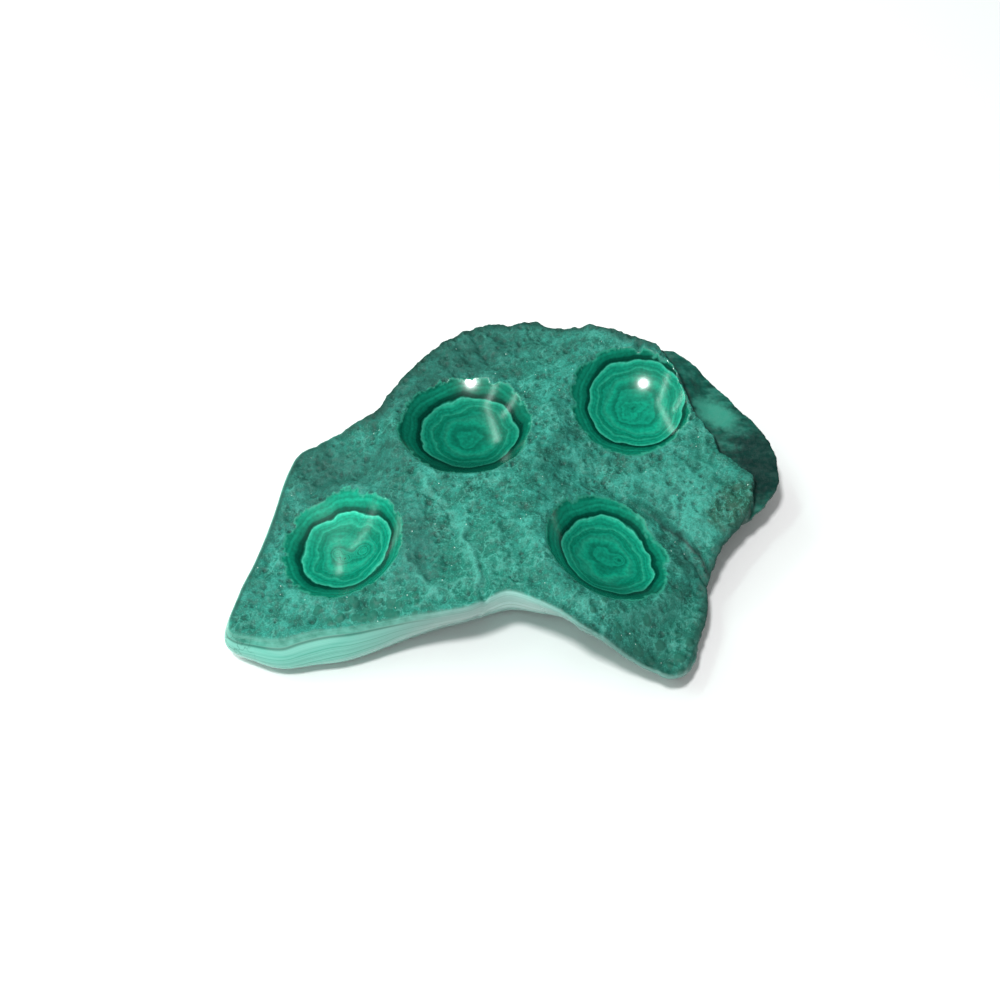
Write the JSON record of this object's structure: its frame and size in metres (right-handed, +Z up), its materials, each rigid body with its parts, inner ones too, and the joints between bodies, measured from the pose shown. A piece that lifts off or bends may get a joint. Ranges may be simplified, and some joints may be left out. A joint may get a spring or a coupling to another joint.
{
  "type": "malachite specimen",
  "caption": "Slab of natural malachite with a pitted green crust, a flat sawn base, rounded polished sides and shallow polished bowls ground into its top.",
  "frame": {"origin": "on the flat resting face, under the middle of the stone's outline box", "axes": "+X along the longest side, +Y from the notched front to the back, +Z up out of the resting face"},
  "size_m": [0.179, 0.135, 0.0319],
  "materials": {
    "malachite": "dull pitted crust on top, polished concentric bands in the bowls and pale banded polished sides"
  },
  "bodies": {
    "root": {"malachite_slab": "malachite"}
  },
  "joints": []
}
